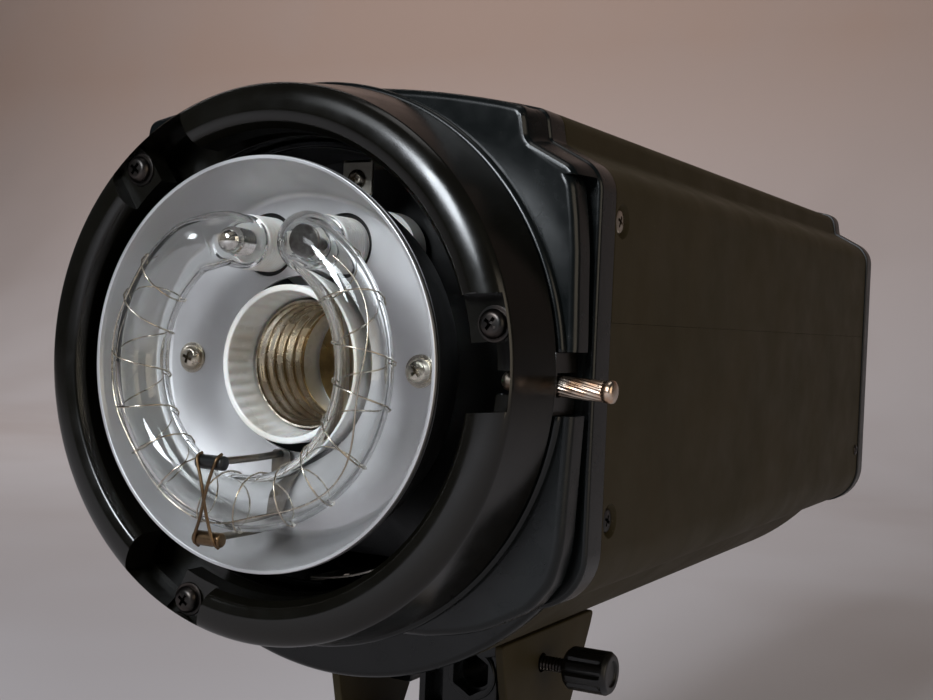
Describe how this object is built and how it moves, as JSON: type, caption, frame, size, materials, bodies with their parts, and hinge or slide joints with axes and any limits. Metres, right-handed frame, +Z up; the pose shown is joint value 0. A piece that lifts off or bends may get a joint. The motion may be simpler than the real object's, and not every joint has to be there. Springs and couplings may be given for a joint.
{
  "type": "monolight strobe",
  "caption": "Mains studio flash head: ring flash tube round a modelling lamp socket, bayonet front, boxed metal body, rear controls and a tilting stand bracket with an umbrella clamp.",
  "frame": {"origin": "centre of the stand socket's mouth, on the socket's axis", "axes": "+Z up along the stand, -Y towards what is lit, along the flash axis, +X to the right of someone facing the lamp"},
  "size_m": [0.1421, 0.3163, 0.2286],
  "materials": {
    "ring_plastic": "fine satin texture",
    "gloss_black": "gloss",
    "casing_plastic": "satin moulded",
    "body_paint": "fine powder coat, semi-matt",
    "dish_aluminium": "satin anodised",
    "ceramic": "lightly glazed white ceramic",
    "nickel": "dull nickel plate",
    "dark_steel": "blackened",
    "tungsten": "sintered",
    "brass": "spring brass",
    "tube_glass": "clear",
    "red_plastic": "moulded gloss",
    "red_lens": "translucent red",
    "control_plastic": "satin moulded",
    "circuit_board": "solder mask",
    "capacitor_sleeve": "shrink sleeve"
  },
  "bodies": {
    "stand_head": {"tilt_head": "casing_plastic"},
    "lamp": {"mount_ring": "ring_plastic", "ring_screw_right": "dark_steel", "ring_screw_upper": "dark_steel", "ring_screw_lower": "dark_steel", "inner_bowl": "gloss_black", "front_casing": "casing_plastic", "reflector_dish": "dish_aluminium", "dish_screw_left": "nickel", "dish_screw_right": "nickel", "lamp_holder": "ceramic", "lamp_screw_shell": "nickel", "lamp_centre_contact": "brass", "flash_tube": "tube_glass", "electrode_left": "tungsten", "electrode_right": "tungsten", "tube_base_left": "ceramic", "tube_base_right": "ceramic", "trigger_wire": "nickel", "tube_clip": "dark_steel", "tube_clip_spring": "brass", "sensor_bracket": "dish_aluminium", "lock_spring": "nickel", "mount_plate": "dish_aluminium", "upper_cover": "body_paint", "lower_shell": "body_paint", "side_screw_right_upper": "dark_steel", "side_screw_right_lower": "dark_steel", "side_screw_left_upper": "dark_steel", "side_screw_left_lower": "dark_steel", "rear_panel": "casing_plastic", "display_window": "gloss_black", "slave_sensor": "red_lens", "sync_jack": "nickel", "mains_inlet": "control_plastic", "fan_frame": "control_plastic", "main_board": "circuit_board", "control_board": "circuit_board", "flash_capacitor_left": "capacitor_sleeve", "flash_capacitor_right": "capacitor_sleeve", "trigger_transformer": "control_plastic", "bracket_block": "casing_plastic", "bracket_cheek_right": "body_paint", "bracket_cheek_left": "body_paint", "tilt_bolt": "nickel", "tilt_nut": "nickel"},
    "tilt_lever": {"tilt_lever": "control_plastic"},
    "umbrella_pad": {"umbrella_pad": "brass"},
    "umbrella_knob": {"umbrella_knob": "control_plastic"},
    "stand_pad": {"stand_pad": "brass"},
    "stand_knob": {"stand_knob": "control_plastic"},
    "lock_pin": {"lock_pin": "nickel"},
    "power_dial": {"power_dial": "control_plastic"},
    "modelling_button": {"modelling_button": "control_plastic"},
    "slave_button": {"slave_button": "control_plastic"},
    "sound_button": {"sound_button": "control_plastic"},
    "test_button": {"test_button": "red_plastic"},
    "power_switch": {"power_switch": "red_plastic"},
    "fan_rotor": {"fan_rotor": "control_plastic"},
    "fuse_cap": {"fuse_cap": "control_plastic"}
  },
  "joints": [
    {"name": "lamp_tilt", "type": "hinge", "parent": "stand_head", "child": "lamp", "pos_m": [0, 0, 0.053], "axis": [1, 0, 0], "range_deg": [-85, 85]},
    {"name": "tilt_lever_turn", "type": "hinge", "parent": "lamp", "child": "tilt_lever", "pos_m": [0, 0, 0.053], "axis": [1, 0, 0], "range_deg": [0, 60]},
    {"name": "umbrella_pad_slide", "type": "slide", "parent": "lamp", "child": "umbrella_pad", "axis": [-1, 0, 0], "range_m": [0, 0.00116]},
    {"name": "umbrella_knob_turn", "type": "hinge", "parent": "umbrella_pad", "child": "umbrella_knob", "pos_m": [0.04, 0, 0.0865], "axis": [-1, 0, 0], "range_deg": [0, 600]},
    {"name": "stand_pad_slide", "type": "slide", "parent": "stand_head", "child": "stand_pad", "axis": [-1, 0, 0], "range_m": [0, 0.00196]},
    {"name": "stand_knob_turn", "type": "hinge", "parent": "stand_pad", "child": "stand_knob", "pos_m": [0.03, 0, 0.02], "axis": [-1, 0, 0], "range_deg": [0, 570]},
    {"name": "lock_pin_slide", "type": "slide", "parent": "lamp", "child": "lock_pin", "axis": [0, 1, 0], "range_m": [0, 0.005], "stiffness_N_per_m": 500, "springref_m": -0.003, "deforming": ["lock_spring"]},
    {"name": "power_dial_turn", "type": "hinge", "parent": "lamp", "child": "power_dial", "pos_m": [0.036, 0.201, 0.175], "axis": [0, 1, 0], "continuous": true},
    {"name": "modelling_button_press", "type": "slide", "parent": "lamp", "child": "modelling_button", "axis": [0, -1, 0], "range_m": [0, 0.0012], "stiffness_N_per_m": 400, "springref_m": -0.001},
    {"name": "slave_button_press", "type": "slide", "parent": "lamp", "child": "slave_button", "axis": [0, -1, 0], "range_m": [0, 0.0012], "stiffness_N_per_m": 400, "springref_m": -0.001},
    {"name": "sound_button_press", "type": "slide", "parent": "lamp", "child": "sound_button", "axis": [0, -1, 0], "range_m": [0, 0.0012], "stiffness_N_per_m": 400, "springref_m": -0.001},
    {"name": "test_button_press", "type": "slide", "parent": "lamp", "child": "test_button", "axis": [0, -1, 0], "range_m": [0, 0.0012], "stiffness_N_per_m": 400, "springref_m": -0.001},
    {"name": "power_switch_rock", "type": "hinge", "parent": "lamp", "child": "power_switch", "pos_m": [0.048, 0.19, 0.135], "axis": [1, 0, 0], "range_deg": [0, 14]},
    {"name": "fan_spin", "type": "hinge", "parent": "lamp", "child": "fan_rotor", "pos_m": [-0.034, 0.178, 0.145], "axis": [0, 1, 0], "continuous": true},
    {"name": "fuse_cap_turn", "type": "hinge", "parent": "lamp", "child": "fuse_cap", "pos_m": [0.048, 0.199, 0.156], "axis": [0, 1, 0], "range_deg": [0, 90]}
  ],
  "couplings": [
    {"joint": "umbrella_knob_turn", "follows": "umbrella_pad_slide", "rad_per_m": 8976},
    {"joint": "stand_knob_turn", "follows": "stand_pad_slide", "rad_per_m": 5026.5}
  ]
}
